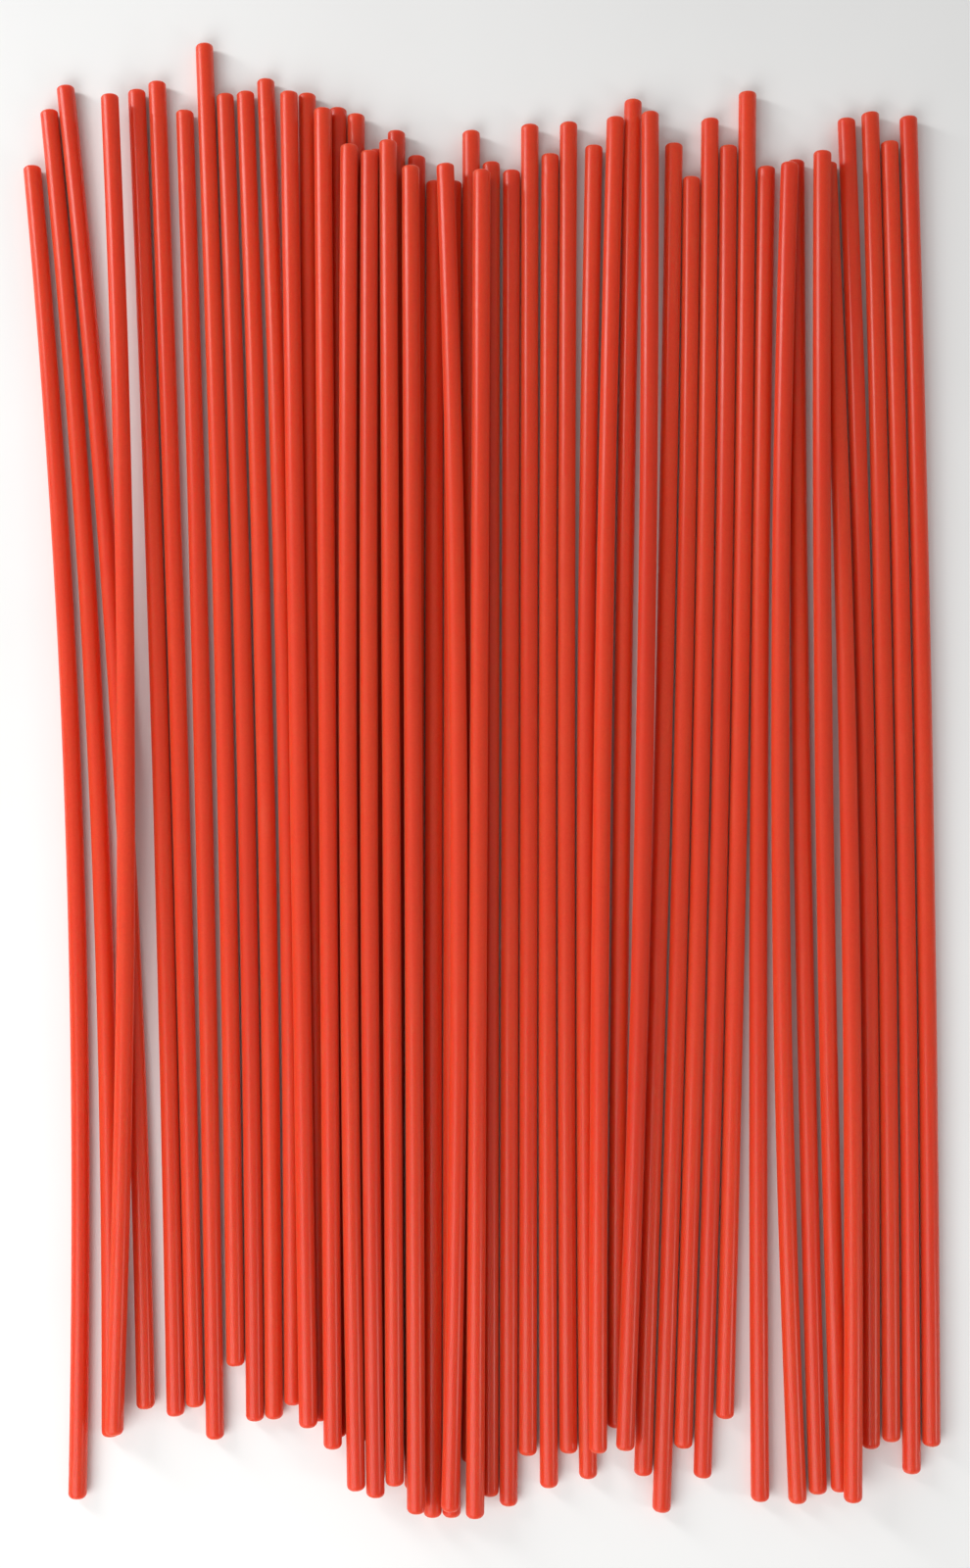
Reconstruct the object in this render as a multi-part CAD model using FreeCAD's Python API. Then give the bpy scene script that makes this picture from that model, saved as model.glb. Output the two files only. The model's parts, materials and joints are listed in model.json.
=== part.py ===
import FreeCAD, Part
import math
import os

# A pack of plain driveway snow markers, laid down loosely side by side.
# Every marker is one piece: a solid round plastic rod, cut square at both ends, with its edges
# eased at the visible end and rounded more at the end that goes into the ground.
# Millimetres. +X runs across the row, +Y along the markers towards their visible ends, +Z is up.
# The origin is at the middle of the pack's footprint, on the surface that the pack lies on.

MARKER_LENGTH = 609.6        # 24 inches
MARKER_DIAMETER = 8.2        # a little over 5/16 inch
VISIBLE_END_ROUNDING = 1.2
GROUND_END_ROUNDING = 2.4

STRAIGHT_END = 25.0          # the stretch at each end of a bowed marker that isn't bent

MARKER_RADIUS = MARKER_DIAMETER / 2
ARC_LENGTH = MARKER_LENGTH - 2 * STRAIGHT_END

# Height of an axis that passes over another marker, above one that lies on the surface.
ON_TOP = 8.6

# How each marker lies, in millimetres:
#   x, y      the middle of the marker, across and along the row
#   lean      how much further to +X its visible end is than its ground end
#   bow       how far its middle is pushed to +X, from the straight line between its ends
#   head      height of its visible end above the surface layer
#   foot      height of its ground end above the surface layer
LAYOUT = {
    # Left end of the row: bowed markers that fan out, with marker 04 lying across 02 and 03.
    "marker_01": dict(x=-188.0, y=-15, lean=-30, bow=9.0),
    "marker_02": dict(x=-178.0, y=12, lean=-37, bow=8.0),
    "marker_03": dict(x=-167.5, y=24, lean=-45, bow=7.0),
    "marker_04": dict(x=-163.0, y=15, lean=-10, bow=6.5, head=ON_TOP, foot=ON_TOP),
    # Left half: a single layer, all leaning the same way.
    "marker_05": dict(x=-149.0, y=21, lean=-25, bow=2.0),
    "marker_06": dict(x=-140.5, y=25, lean=-24, bow=1.5),
    "marker_07": dict(x=-129.3, y=11, lean=-20, bow=1.5),
    "marker_08": dict(x=-120.0, y=43, lean=-20, bow=2.0),
    "marker_09": dict(x=-110.0, y=19, lean=-19, bow=2.5),
    "marker_10": dict(x=-101.0, y=20, lean=-18, bow=2.5),
    "marker_11": dict(x=-91.5, y=26, lean=-17, bow=3.0),
    "marker_12": dict(x=-85.0, y=18, lean=-13, head=5.0, foot=8.0),
    "marker_13": dict(x=-79.0, y=19, lean=-9),
    # Middle: two layers. The upper markers lie on the under_markers.
    "marker_14": dict(x=-71.5, y=9, lean=-8, head=7.0, foot=ON_TOP),
    "marker_15": dict(x=-62.0, y=-9, lean=-6, bow=-2.0, head=ON_TOP, foot=ON_TOP),
    "marker_16": dict(x=-52.5, y=-12, lean=-5, bow=-1.5, head=ON_TOP, foot=ON_TOP),
    "marker_17": dict(x=-42.5, y=-7, lean=-5, head=ON_TOP, foot=ON_TOP),
    "marker_18": dict(x=-32.5, y=-19, lean=-4, head=ON_TOP, foot=ON_TOP),
    "marker_19": dict(x=-23.5, y=-23),
    "marker_20": dict(x=-12.0, y=-18, lean=-3, bow=5.0, head=ON_TOP, foot=ON_TOP),
    "marker_21": dict(x=-3.0, y=-21, lean=3, head=ON_TOP, foot=ON_TOP),
    "under_marker_01": dict(x=-67.5, y=12, lean=-3),
    "under_marker_02": dict(x=-59.0, y=9, lean=-3),
    "under_marker_03": dict(x=-50.0, y=-8, lean=-2),
    "under_marker_04": dict(x=-41.0, y=1, lean=-1),
    "under_marker_05": dict(x=-32.0, y=-11),
    "under_marker_06": dict(x=-15.0, y=-23),
    "under_marker_07": dict(x=-6.5, y=1),
    "under_marker_08": dict(x=2.4, y=-14, lean=1),
    # Right half: a single layer, with the feet of 27 and 29 pushed up onto their left neighbours.
    "marker_22": dict(x=11.4, y=-18, lean=2),
    "marker_23": dict(x=20.0, y=4, lean=2),
    "marker_24": dict(x=28.5, y=-10, lean=2, bow=-1.0),
    "marker_25": dict(x=37.2, y=5, lean=2, bow=-1.0),
    "marker_26": dict(x=46.0, y=-6, lean=5, bow=-2.5),
    "marker_27": dict(x=53.5, y=7, lean=11, bow=-2.0, head=2.0, foot=7.5),
    "marker_28": dict(x=63.0, y=16, lean=11, bow=-1.0),
    "marker_29": dict(x=72.5, y=8, lean=15, bow=3.0, head=5.0, foot=8.0),
    "marker_30": dict(x=81.0, y=-5, lean=18, bow=1.5),
    "marker_31": dict(x=89.6, y=-21, lean=18, bow=2.0),
    "marker_32": dict(x=99.0, y=7, lean=17, bow=2.0),
    "marker_33": dict(x=107.5, y=-6, lean=17, bow=2.0),
    "marker_34": dict(x=116.7, y=20, lean=16, bow=1.5),
    "marker_35": dict(x=125.2, y=-16, lean=9, bow=-2.0),
    # Right end: the head of 36 lies on 37, and 38 and 39 cross, head over head and foot over foot.
    "marker_36": dict(x=134.5, y=-17, lean=2, bow=-6.0, head=7.5),
    "marker_37": dict(x=145.0, y=-13, lean=-3, bow=-2.0),
    "marker_38": dict(x=154.5, y=-12, lean=-2, bow=-3.0, head=ON_TOP),
    "marker_39": dict(x=165.5, y=-14, lean=-2, bow=4.0, foot=9.0),
    "marker_40": dict(x=174.4, y=7, lean=-3, bow=3.5),
    "marker_41": dict(x=183.1, y=10, lean=-1, bow=2.0),
    "marker_42": dict(x=192.0, y=-4, lean=-1, bow=2.0),
    "marker_43": dict(x=201.0, y=8, lean=-1, bow=2.0),
}

AXIS_Y = FreeCAD.Vector(0, 1, 0)
AXIS_Z = FreeCAD.Vector(0, 0, 1)
HERE = FreeCAD.Vector(0, 0, 0)


def straight_end(direction, rounding):
    """An end stretch that starts at the origin and runs along Y, with its far edge rounded."""
    tip = direction * STRAIGHT_END
    shoulder = direction * (STRAIGHT_END - rounding)
    corner = FreeCAD.Vector(MARKER_RADIUS - rounding * (1 - math.sqrt(0.5)),
                            tip - direction * rounding * (1 - math.sqrt(0.5)), 0)
    on_axis = FreeCAD.Vector(0, tip, 0)
    side_start = FreeCAD.Vector(MARKER_RADIUS, 0, 0)
    side_end = FreeCAD.Vector(MARKER_RADIUS, shoulder, 0)
    face_start = FreeCAD.Vector(MARKER_RADIUS - rounding, tip, 0)
    outline = [
        Part.makeLine(HERE, side_start),
        Part.makeLine(side_start, side_end),
        Part.Arc(side_end, corner, face_start).toShape(),
        Part.makeLine(face_start, on_axis),
        Part.makeLine(on_axis, HERE),
    ]
    return Part.Face(Part.Wire(outline)).revolve(HERE, AXIS_Y, 360)


def bowed_rod(bow):
    """A marker along Y with its middle at the origin, an arc of a torus between two straight ends."""
    side = math.copysign(1, bow)
    bend_radius = ARC_LENGTH * (ARC_LENGTH + 4 * STRAIGHT_END) / (8 * abs(bow))
    bend_centre = FreeCAD.Vector(-side * bend_radius, 0, 0)
    half_turn = side * math.degrees(ARC_LENGTH / 2 / bend_radius)
    section = Part.Face(Part.Wire(Part.makeCircle(MARKER_RADIUS, HERE, AXIS_Y)))
    section.rotate(bend_centre, AXIS_Z, -half_turn)
    arc = section.revolve(bend_centre, AXIS_Z, 2 * half_turn)
    visible_end = straight_end(1, VISIBLE_END_ROUNDING)
    visible_end.rotate(bend_centre, AXIS_Z, half_turn)
    ground_end = straight_end(-1, GROUND_END_ROUNDING)
    ground_end.rotate(bend_centre, AXIS_Z, -half_turn)
    return arc.fuse([visible_end, ground_end]).Solids[0]


def straight_rod():
    """A straight marker along Y with its middle at the origin."""
    half_stretch = AXIS_Y * (ARC_LENGTH / 2)
    stretch = Part.makeCylinder(MARKER_RADIUS, ARC_LENGTH, -half_stretch, AXIS_Y)
    visible_end = straight_end(1, VISIBLE_END_ROUNDING)
    visible_end.translate(half_stretch)
    ground_end = straight_end(-1, GROUND_END_ROUNDING)
    ground_end.translate(-half_stretch)
    return stretch.fuse([visible_end, ground_end]).removeSplitter().Solids[0]


def marker(x, y, lean=0, bow=0, head=0, foot=0):
    """One marker, laid where it lies in the pack."""
    solid = bowed_rod(bow) if bow else straight_rod()
    tilt = math.degrees(math.asin((head - foot) / MARKER_LENGTH))
    turn = -math.degrees(math.asin(lean / MARKER_LENGTH))
    place = FreeCAD.Vector(x, y, MARKER_RADIUS + (head + foot) / 2)
    attitude = FreeCAD.Rotation(AXIS_Z, turn) * FreeCAD.Rotation(FreeCAD.Vector(1, 0, 0), tilt)
    solid.Placement = FreeCAD.Placement(place, attitude).multiply(solid.Placement)
    return solid


def footprint_middle(shapes):
    """The middle of the box around all the shapes, on the surface that they lie on."""
    box = Part.makeCompound(shapes).optimalBoundingBox(False, False)
    return FreeCAD.Vector(box.Center.x, box.Center.y, 0)


markers = {name: marker(**place) for name, place in LAYOUT.items()}
origin = footprint_middle(list(markers.values()))

os.makedirs("parts", exist_ok=True)
for name, shape in markers.items():
    shape.translate(-origin)
    shape.exportStep("parts/" + name + ".step")
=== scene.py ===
import bpy
import json
import math
import random

import numpy as np
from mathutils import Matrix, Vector


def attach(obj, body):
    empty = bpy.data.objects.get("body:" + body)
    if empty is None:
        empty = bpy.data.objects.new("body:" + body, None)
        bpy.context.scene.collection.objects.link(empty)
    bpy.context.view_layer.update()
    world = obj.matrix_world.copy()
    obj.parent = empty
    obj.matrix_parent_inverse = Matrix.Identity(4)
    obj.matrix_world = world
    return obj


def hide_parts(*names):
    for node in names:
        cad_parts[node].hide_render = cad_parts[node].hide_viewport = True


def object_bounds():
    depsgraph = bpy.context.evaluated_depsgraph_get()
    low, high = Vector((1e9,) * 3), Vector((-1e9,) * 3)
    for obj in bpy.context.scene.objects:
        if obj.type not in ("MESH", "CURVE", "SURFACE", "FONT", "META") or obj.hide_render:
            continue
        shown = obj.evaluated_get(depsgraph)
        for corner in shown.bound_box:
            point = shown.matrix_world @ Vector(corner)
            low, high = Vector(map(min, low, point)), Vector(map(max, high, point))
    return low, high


# A pack of plain red-orange driveway markers, lying on a pale floor and seen from above.
# Metres, in the CAD frame: +X runs across the row, +Y towards the visible ends, +Z up.

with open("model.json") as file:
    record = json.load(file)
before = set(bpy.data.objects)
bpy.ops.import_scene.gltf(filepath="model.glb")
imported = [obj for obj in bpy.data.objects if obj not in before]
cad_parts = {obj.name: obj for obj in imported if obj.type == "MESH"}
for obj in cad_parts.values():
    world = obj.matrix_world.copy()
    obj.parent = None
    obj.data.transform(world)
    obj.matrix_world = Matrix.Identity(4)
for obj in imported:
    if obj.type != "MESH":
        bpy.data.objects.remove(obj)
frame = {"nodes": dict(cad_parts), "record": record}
cad_low, cad_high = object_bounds()

MILLIMETRE = 0.001
MARKER_MOUNTS = {mount["name"]: mount for mount in frame["record"]["mounts"]}
MARKER_RADIUS = MARKER_MOUNTS["visible_end"]["dims"]["r_mm"] * MILLIMETRE
VISIBLE_END_ROUNDING = 1.2 * MILLIMETRE
GROUND_END_ROUNDING = 2.4 * MILLIMETRE

# How finely a marker is meshed: points around it, and the gaps between its rings of points.
POINTS_AROUND = 40
RINGS_IN_ROUNDING = 6
RINGS_IN_FACE = 5
END_STRETCH = 22 * MILLIMETRE
END_RING_GAP = 1.1 * MILLIMETRE
MIDDLE_RING_GAP = 5 * MILLIMETRE

# What the extruder, the saw and use leave on a marker.
OUT_OF_ROUND = 0.012 * MILLIMETRE
DIE_LINE_DEPTH = 0.012 * MILLIMETRE
DIE_LINES = 5
THICKNESS_WAVE = 0.025 * MILLIMETRE
WANDER = 0.07 * MILLIMETRE
CUT_SLANT = 0.06
CUT_FADE = 9 * MILLIMETRE
SAW_RIDGE_DEPTH = 0.05 * MILLIMETRE
SAW_RIDGE_GAP = 0.9 * MILLIMETRE
NICKS = 7
NICK_DEPTH = 0.16 * MILLIMETRE
NICK_SIZE = 1.3 * MILLIMETRE
NICK_STRETCH = 1.6           # a nick's length along the marker, for a width of 1
NICK_EDGE = 2.5              # in nick sizes: past this a nick has faded out
NICKS_AT_GROUND_END = 0.6    # the share of the nicks at that end
# Painted highlight: how far from each sawn end the paler colour fades out. The paler end is painted
# light, not something the saw leaves.
END_HIGHLIGHT_DEPTH = 1.4 * MILLIMETRE
# Slow changes along a marker, as (number of sines, longest wave, shortest wave), in metres.
THICKNESS_WAVES = (4, 0.21, 0.05)
WANDER_WAVES = (5, 0.3, 0.09)

# The camera: above a point just beside the pack's middle, leaning a little to the ground ends.
AIM = Vector((5.4 * MILLIMETRE, -9.9 * MILLIMETRE, 0))
CAMERA_DISTANCE = 0.9
CAMERA_TILT = math.radians(4)
CAMERA_LENS = 44.94          # this and the sensor are in millimetres, as Blender takes them
CAMERA_SENSOR = 36

# The plastic, coloured right through, and what varies its colour.
DEEP_RED = (0.66, 0.044, 0.011, 1)
BRIGHT_RED = (0.75, 0.056, 0.014, 1)
ORANGE_RED = (0.79, 0.082, 0.016, 1)
GRAIN_DARK = (0.56, 0.024, 0.006, 1)
GRAIN_LIGHT = (0.84, 0.090, 0.030, 1)
# Scuff colour for worn spots, also used for the painted highlight near each sawn end.
SCUFF_AND_END_HIGHLIGHT = (0.86, 0.17, 0.08, 1)
HAZE = (1.0, 0.32, 0.22, 1)

# The floor.
FLOOR_GREY = (0.93, 0.93, 0.92, 1)
FLOOR_WHITE = (0.96, 0.96, 0.95, 1)
FLOOR_REACH = 6.0
FLOOR_DROP = 0.05 * MILLIMETRE

# The lights: their place, width, height and power.
DAYLIGHT = 0.36
SOFTBOXES = {
    "broad_near_left": ((-0.60, -0.72, 0.90), 1.0, 1.0, 10.5),
    "window_far_left": ((-1.05, 0.66, 0.62), 0.25, 0.8, 8),
    "strip_near_right": ((1.00, -0.53, 0.60), 0.2, 0.3, 1.5),
}

UP = np.array((0.0, 0.0, 1.0))


class Axis:
    """A marker's centreline, read from its CAD node: straight, or with one even sideways bow."""

    BOW_DEGREE = 4

    def __init__(self, node):
        corners = np.array([vertex.co for vertex in frame["nodes"][node].data.vertices])
        corners = np.unique(corners.round(6), axis=0)
        from_middle = corners - corners.mean(axis=0)
        along = np.linalg.svd(from_middle, full_matrices=False)[2][0]
        self.along = along * np.sign(along[1])
        place = corners @ self.along
        self.middle = corners.mean(axis=0)
        self.middle += self.along * ((place.min() + place.max()) / 2 - self.middle @ self.along)
        from_middle = corners - self.middle
        self.side = np.cross(self.along, UP)
        self.side /= np.linalg.norm(self.side)
        self.lift = np.cross(self.side, self.along)
        place = from_middle @ self.along
        self.foot, self.head = place.min(), place.max()
        # A straight marker's surface has no vertices between its end stretches.
        bowed = np.abs(place).min() < self.head / 2
        degree = self.BOW_DEGREE if bowed else 1
        self.sideways = np.polynomial.Polynomial.fit(place, from_middle @ self.side, degree)
        self.upwards = np.polynomial.Polynomial.fit(place, from_middle @ self.lift, 1)

    def point(self, place):
        """The centreline's point at a place along the marker."""
        return (self.middle + self.along * place + self.side * self.sideways(place)
                + self.lift * self.upwards(place))

    def cross(self, place):
        """The centreline's direction there, and two directions across it."""
        direction = (self.along + self.side * self.sideways.deriv()(place)
                     + self.lift * self.upwards.deriv()(place))
        direction /= np.linalg.norm(direction)
        across = self.side - direction * (self.side @ direction)
        across /= np.linalg.norm(across)
        return direction, across, np.cross(across, direction)


def end_rings(rounding):
    """Rings from the middle of an end face to the barrel, as (depth from the tip, radius)."""
    flat = MARKER_RADIUS - rounding
    rings = [(0.0, flat * i / RINGS_IN_FACE) for i in range(1, RINGS_IN_FACE)]
    for i in range(RINGS_IN_ROUNDING + 1):
        turn = math.pi / 2 * i / RINGS_IN_ROUNDING
        rings.append((rounding * (1 - math.cos(turn)), flat + rounding * math.sin(turn)))
    return rings


def barrel_places(start, stop):
    """Places of the rings between the two roundings, closer together near the ends."""
    count = round(END_STRETCH / END_RING_GAP)
    from_end = [END_STRETCH * i / count for i in range(1, count)]
    between = stop - start - 2 * END_STRETCH
    count = round(between / MIDDLE_RING_GAP)
    middle = [start + END_STRETCH + between * i / count for i in range(count + 1)]
    return [*(start + step for step in from_end), *middle,
            *(stop - step for step in reversed(from_end))]


def marker_rings(axis):
    """Every ring of a marker from foot to head, as (place along it, radius)."""
    foot_rings = end_rings(GROUND_END_ROUNDING)
    head_rings = end_rings(VISIBLE_END_ROUNDING)
    rings = [(axis.foot + depth, radius) for depth, radius in foot_rings]
    start, stop = axis.foot + GROUND_END_ROUNDING, axis.head - VISIBLE_END_ROUNDING
    rings += [(place, MARKER_RADIUS) for place in barrel_places(start, stop)]
    rings += [(axis.head - depth, radius) for depth, radius in reversed(head_rings)]
    return rings


def waves(rng, count, longest, shortest):
    """A smooth seeded curve between about -1 and 1, as a sum of sines."""
    parts = [(rng.uniform(shortest, longest), rng.uniform(0, math.tau)) for _ in range(count)]
    return lambda place: sum(
        math.sin(math.tau * place / length + phase) for length, phase in parts) / count


def make_skin(axis, rng):
    """How far the surface stands off a true cylinder, at a place and an angle."""
    turn = rng.uniform(0, math.tau)
    lines = [(rng.uniform(0, math.tau), rng.uniform(0.4, 1.0)) for _ in range(DIE_LINES)]
    thickness = waves(rng, *THICKNESS_WAVES)
    nicks = []
    for _ in range(NICKS):
        from_end = rng.uniform(0.1, 1.0) ** 2 * END_STRETCH
        place = axis.foot + from_end if rng.random() < NICKS_AT_GROUND_END else axis.head - from_end
        nicks.append((place, rng.uniform(0, math.tau), rng.uniform(0.3, 1.0)))
    line_width = math.tau / POINTS_AROUND

    def skin(place, angle):
        height = OUT_OF_ROUND * math.cos(2 * (angle - turn)) + THICKNESS_WAVE * thickness(place)
        for line, depth in lines:
            off = math.remainder(angle - line, math.tau) / line_width
            height -= DIE_LINE_DEPTH * depth * math.exp(-off * off)
        for nick, side, size in nicks:
            off = math.remainder(angle - side, math.tau) * MARKER_RADIUS
            far = math.hypot((place - nick) / NICK_STRETCH, off) / (NICK_SIZE * size)
            if far < NICK_EDGE:
                height -= NICK_DEPTH * size * math.exp(-far * far)
        return height

    return skin


def make_cut(rng):
    """How far a point near an end is moved along the marker: the saw's slant and its ridges."""
    slope = rng.uniform(-CUT_SLANT, CUT_SLANT)
    slant_side = rng.uniform(0, math.tau)
    saw_side = rng.uniform(0, math.tau)

    def cut(depth, radius, angle):
        fade = max(0.0, 1 - depth / CUT_FADE)
        shift = slope * radius * math.cos(angle - slant_side) * fade * fade
        across_saw = radius * math.sin(angle - saw_side)
        ridge = math.sin(math.tau * across_saw / SAW_RIDGE_GAP)
        on_face = 1.0 if depth == 0.0 else 0.0
        return shift - SAW_RIDGE_DEPTH * (0.5 + 0.5 * ridge) * on_face

    return cut


def marker_mesh(name, axis, rng):
    """One marker as a closed mesh, with how near each point is to a sawn end, for the painted end
    highlight.
    """
    rings = marker_rings(axis)
    skin = make_skin(axis, rng)
    foot_cut, head_cut = make_cut(rng), make_cut(rng)
    wander_x, wander_z = waves(rng, *WANDER_WAVES), waves(rng, *WANDER_WAVES)
    angles = [math.tau * i / POINTS_AROUND for i in range(POINTS_AROUND)]
    points = [axis.point(axis.foot)]
    for place, radius in rings:
        direction, across, above = axis.cross(place)
        settle = math.sin(math.pi * (place - axis.foot) / (axis.head - axis.foot))
        centre = (axis.point(place) + across * WANDER * wander_x(place) * settle
                  + above * WANDER * wander_z(place) * settle)
        for angle in angles:
            reach = radius + skin(place, angle) * (radius / MARKER_RADIUS)
            shift = (head_cut(axis.head - place, radius, angle)
                     - foot_cut(place - axis.foot, radius, angle))
            points.append(centre + direction * shift
                          + reach * (across * math.cos(angle) + above * math.sin(angle)))
    points.append(axis.point(axis.head))

    faces = []
    for i in range(POINTS_AROUND):
        j = (i + 1) % POINTS_AROUND
        faces.append((0, 1 + i, 1 + j))
        for ring in range(len(rings) - 1):
            row = 1 + ring * POINTS_AROUND
            faces.append((row + i, row + POINTS_AROUND + i, row + POINTS_AROUND + j, row + j))
        last_row = 1 + (len(rings) - 1) * POINTS_AROUND
        faces.append((last_row + i, len(points) - 1, last_row + j))

    mesh = bpy.data.meshes.new(name)
    mesh.from_pydata(points, [], faces)
    mesh.shade_smooth()
    places = [axis.foot, *np.repeat([place for place, _ in rings], POINTS_AROUND), axis.head]
    # How strongly the painted end highlight shows at each point.
    store(mesh, "painted_end_highlight", [cut_nearness(axis, place) for place in places])
    store(mesh, "tone", [rng.random()] * len(points))
    return mesh


def cut_nearness(axis, place):
    """1 at a sawn end, falling to 0 on the barrel: how strongly the painted end highlight shows."""
    depth = min(place - axis.foot, axis.head - place)
    return math.exp(-depth / END_HIGHLIGHT_DEPTH)


def store(mesh, name, values):
    """Keeps one number per point of a mesh, for its material to read."""
    mesh.attributes.new(name, "FLOAT", "POINT").data.foreach_set("value", values)


def add(tree, kind, **settings):
    """A new shader node. Settings are its properties, or its inputs where they name one."""
    node = tree.nodes.new("ShaderNode" + kind)
    for key, value in settings.items():
        socket = key.replace("_", " ").title()
        if hasattr(node, key):
            setattr(node, key, value)
        else:
            node.inputs[socket].default_value = value
    return node


def noise_field(tree, scale, stretch, detail, seed_from=None):
    """Noise in the piece's own coordinates, drawn out along the marker by stretch."""
    coordinates = add(tree, "TexCoord")
    mapping = add(tree, "Mapping")
    mapping.inputs["Scale"].default_value = (1, 1 / stretch, 1)
    tree.links.new(coordinates.outputs["Object"], mapping.inputs["Vector"])
    field = add(tree, "TexNoise", noise_dimensions="4D", scale=scale, detail=detail)
    tree.links.new(mapping.outputs["Vector"], field.inputs["Vector"])
    if seed_from is not None:
        tree.links.new(seed_from, field.inputs["W"])
    return field.outputs["Fac"]


def remap(tree, value, low, high, from_low=0.3, from_high=0.7):
    """Stretches a value between from_low and from_high to the range low to high."""
    node = add(tree, "MapRange")
    node.inputs["From Min"].default_value = from_low
    node.inputs["From Max"].default_value = from_high
    node.inputs["To Min"].default_value = low
    node.inputs["To Max"].default_value = high
    tree.links.new(value, node.inputs["Value"])
    return node.outputs["Result"]


def mix(tree, factor, first, second):
    """Mixes two colours, each a socket or a plain colour."""
    node = add(tree, "Mix", data_type="RGBA")
    colours = [socket for socket in node.inputs if socket.type == "RGBA"]
    factors = [socket for socket in node.inputs if socket.name == "Factor"]
    for socket, value in ((factors[0], factor), (colours[0], first), (colours[1], second)):
        if isinstance(value, bpy.types.NodeSocket):
            tree.links.new(value, socket)
        else:
            socket.default_value = value
    return next(socket for socket in node.outputs if socket.type == "RGBA")


def attribute(tree, name):
    """A number stored on the mesh's points."""
    return add(tree, "Attribute", attribute_name=name).outputs["Fac"]


def bump(tree, height, distance, normal=None):
    """A bump of a given depth, on top of an earlier one if there is one."""
    node = add(tree, "Bump")
    node.inputs["Distance"].default_value = distance
    tree.links.new(height, node.inputs["Height"])
    if normal is not None:
        tree.links.new(normal, node.inputs["Normal"])
    return node.outputs["Normal"]


def plastic_material():
    """Satin red-orange plastic, coloured right through and mottled, with a painted highlight that
    makes it paler near each sawn end.
    """
    material = bpy.data.materials.new("marker_plastic")
    material.use_nodes = True
    tree = material.node_tree
    shader = tree.nodes["Principled BSDF"]
    tone = attribute(tree, "tone")
    seed = add(tree, "Math", operation="MULTIPLY")
    seed.inputs[1].default_value = 40
    tree.links.new(tone, seed.inputs[0])
    seed = seed.outputs["Value"]

    slow = noise_field(tree, 14, 3, 2, seed)
    streaks = noise_field(tree, 900, 40, 2, seed)
    grain = noise_field(tree, 1500, 1.5, 3, seed)
    scuffs = noise_field(tree, 260, 9, 4, seed)

    body = mix(tree, remap(tree, tone, 0, 1, 0, 1), DEEP_RED, BRIGHT_RED)
    body = mix(tree, remap(tree, slow, 0, 0.5), body, ORANGE_RED)
    body = mix(tree, remap(tree, grain, 0, 0.30), body, GRAIN_DARK)
    body = mix(tree, remap(tree, streaks, 0, 0.10), body, GRAIN_LIGHT)
    body = mix(tree, remap(tree, scuffs, 0, 0.30, 0.62, 0.85), body, SCUFF_AND_END_HIGHLIGHT)
    # Painted highlight: the colour turns paler towards each sawn end, where cut is 1.
    cut = attribute(tree, "painted_end_highlight")
    body = mix(tree, remap(tree, cut, 0, 0.35, 0.1, 1), body, SCUFF_AND_END_HIGHLIGHT)
    tree.links.new(body, shader.inputs["Base Color"])

    tree.links.new(remap(tree, scuffs, 0.36, 0.48), shader.inputs["Roughness"])
    normal = bump(tree, streaks, 0.008 * MILLIMETRE)
    normal = bump(tree, grain, 0.03 * MILLIMETRE, normal)
    tree.links.new(normal, shader.inputs["Normal"])
    shader.inputs["IOR"].default_value = 1.45
    shader.inputs["Specular IOR Level"].default_value = 0.3
    shader.inputs["Subsurface Weight"].default_value = 1.0
    shader.inputs["Subsurface Radius"].default_value = (1.0, 0.15, 0.08)
    shader.inputs["Subsurface Scale"].default_value = 7.0 * MILLIMETRE
    shader.inputs["Coat Weight"].default_value = 0.25
    shader.inputs["Coat Roughness"].default_value = 0.18
    shader.inputs["Sheen Weight"].default_value = 0.6
    shader.inputs["Sheen Roughness"].default_value = 0.4
    shader.inputs["Sheen Tint"].default_value = HAZE
    return material


def make_markers():
    """Every marker of the pack, standing for its CAD node and moving with its CAD body."""
    plastic = plastic_material()
    bodies = {node: body for body, nodes in frame["record"]["behaviour"]["bodies"].items()
              for node in nodes}
    for number, node in enumerate(sorted(frame["nodes"])):
        rng = random.Random(number)
        mesh = marker_mesh(node + "_rod", Axis(node), rng)
        mesh.materials.append(plastic)
        piece = bpy.data.objects.new(node + "_rod", mesh)
        bpy.context.scene.collection.objects.link(piece)
        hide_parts(node)
        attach(piece, bodies[node])


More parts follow.
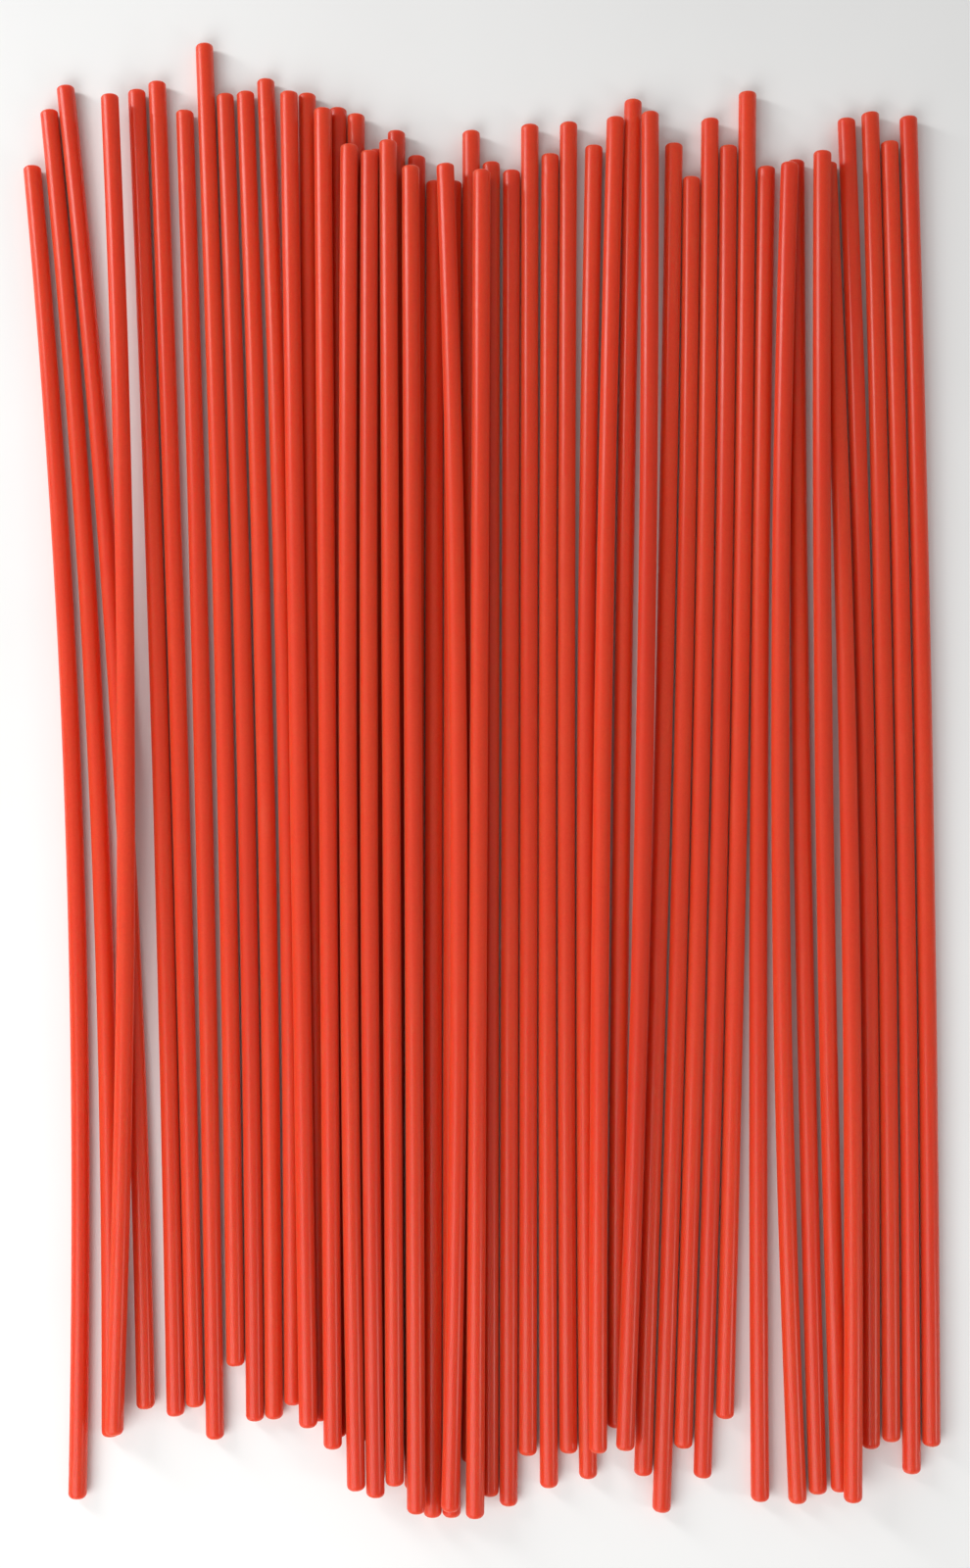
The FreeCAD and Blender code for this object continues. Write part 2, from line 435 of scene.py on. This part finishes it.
def make_floor():
    """A plain pale floor, well past the camera's view."""
    material = bpy.data.materials.new("pale_floor")
    material.use_nodes = True
    tree = material.node_tree
    shader = tree.nodes["Principled BSDF"]
    mottle = remap(tree, noise_field(tree, 9, 1, 3), 0, 1)
    tree.links.new(mix(tree, mottle, FLOOR_GREY, FLOOR_WHITE), shader.inputs["Base Color"])
    shader.inputs["Roughness"].default_value = 0.8
    corners = [(-FLOOR_REACH, -FLOOR_REACH, 0), (FLOOR_REACH, -FLOOR_REACH, 0),
               (FLOOR_REACH, FLOOR_REACH, 0), (-FLOOR_REACH, FLOOR_REACH, 0)]
    mesh = bpy.data.meshes.new("floor")
    mesh.from_pydata(corners, [], [(0, 1, 2, 3)])
    mesh.materials.append(material)
    floor = bpy.data.objects.new("floor", mesh)
    floor.location.z = cad_low.z - FLOOR_DROP
    bpy.context.scene.collection.objects.link(floor)


def softbox(name, place, width, height, power):
    """A rectangular area light aimed at the middle of the pack."""
    data = bpy.data.lights.new(name, "AREA")
    data.shape = "RECTANGLE"
    data.size, data.size_y = width, height
    data.energy = power
    lamp = bpy.data.objects.new(name, data)
    lamp.location = place
    lamp.rotation_mode = "QUATERNION"
    lamp.rotation_quaternion = (AIM - Vector(place)).to_track_quat("-Z", "Y")
    bpy.context.scene.collection.objects.link(lamp)


def make_lights():
    """Soft daylight all round, a broad light over the near left corner, and strips for gloss."""
    world = bpy.data.worlds.new("studio")
    world.use_nodes = True
    world.node_tree.nodes["Background"].inputs["Color"].default_value = (1, 1, 1, 1)
    world.node_tree.nodes["Background"].inputs["Strength"].default_value = DAYLIGHT
    bpy.context.scene.world = world
    for name, (place, width, height, power) in SOFTBOXES.items():
        softbox(name, place, width, height, power)


def make_camera():
    """The camera, which looks down with the visible ends at the top of its view."""
    data = bpy.data.cameras.new("camera")
    data.lens = CAMERA_LENS
    data.sensor_width = CAMERA_SENSOR
    camera = bpy.data.objects.new("camera", data)
    back = Vector((0, -math.sin(CAMERA_TILT), math.cos(CAMERA_TILT)))
    camera.location = AIM + back * CAMERA_DISTANCE
    camera.rotation_mode = "QUATERNION"
    camera.rotation_quaternion = (-back).to_track_quat("-Z", "Y")
    bpy.context.scene.collection.objects.link(camera)
    bpy.context.scene.camera = camera


make_markers()
make_floor()
make_lights()
make_camera()
bpy.context.scene.view_settings.view_transform = "Standard"
